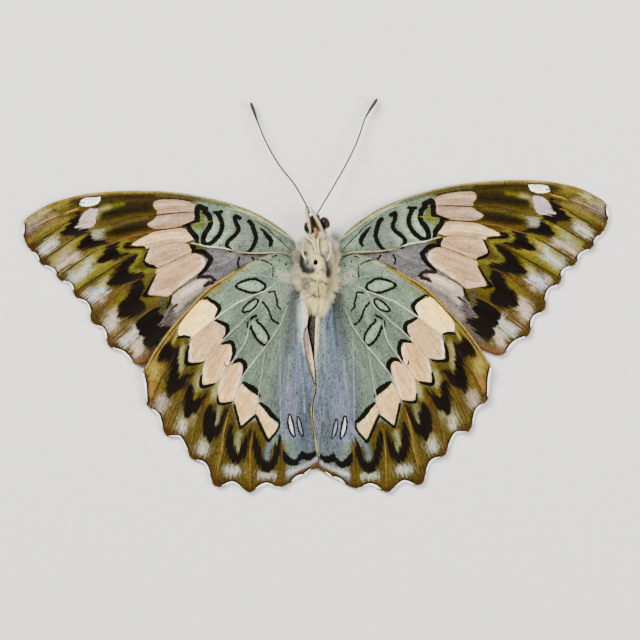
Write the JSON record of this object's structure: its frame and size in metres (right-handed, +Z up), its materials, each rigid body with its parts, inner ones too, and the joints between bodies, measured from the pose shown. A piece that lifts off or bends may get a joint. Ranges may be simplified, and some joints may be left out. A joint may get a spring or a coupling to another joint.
{
  "type": "spread butterfly specimen",
  "caption": "Dried butterfly with its wings spread flat, lying on its back with the underside showing: green and blue-grey wings with cream patches, dark chevrons and scalloped edges.",
  "frame": {"origin": "on the surface that it rests on, under the middle of the wingspan and of the length over antennae and wings", "axes": "+X across the wings, +Y towards the head, +Z up, the way the underside of the wings faces"},
  "size_m": [0.0803, 0.0539, 0.0063],
  "materials": {
    "forewing": "matte wing scales, olive brown with cream patches and dark chevrons",
    "hindwing": "matte wing scales, grey-green and olive with cream patches and dark chevrons",
    "fur": "cream and grey hair",
    "palp_scales": "cream-white pressed scales",
    "cuticle": "dark brown, satin",
    "eye": "dark red-brown, faceted gloss",
    "amber": "amber-brown, satin"
  },
  "bodies": {
    "root": {"thorax": "fur", "head": "cuticle", "abdomen": "cuticle", "left_eye": "eye", "right_eye": "eye", "left_palp": "palp_scales", "right_palp": "palp_scales", "proboscis": "amber", "left_antenna": "cuticle", "right_antenna": "cuticle", "left_foreleg": "fur", "right_foreleg": "fur", "left_midleg": "fur", "right_midleg": "fur", "left_forewing": "forewing", "right_forewing": "forewing", "left_hindwing": "hindwing", "right_hindwing": "hindwing"}
  },
  "joints": []
}
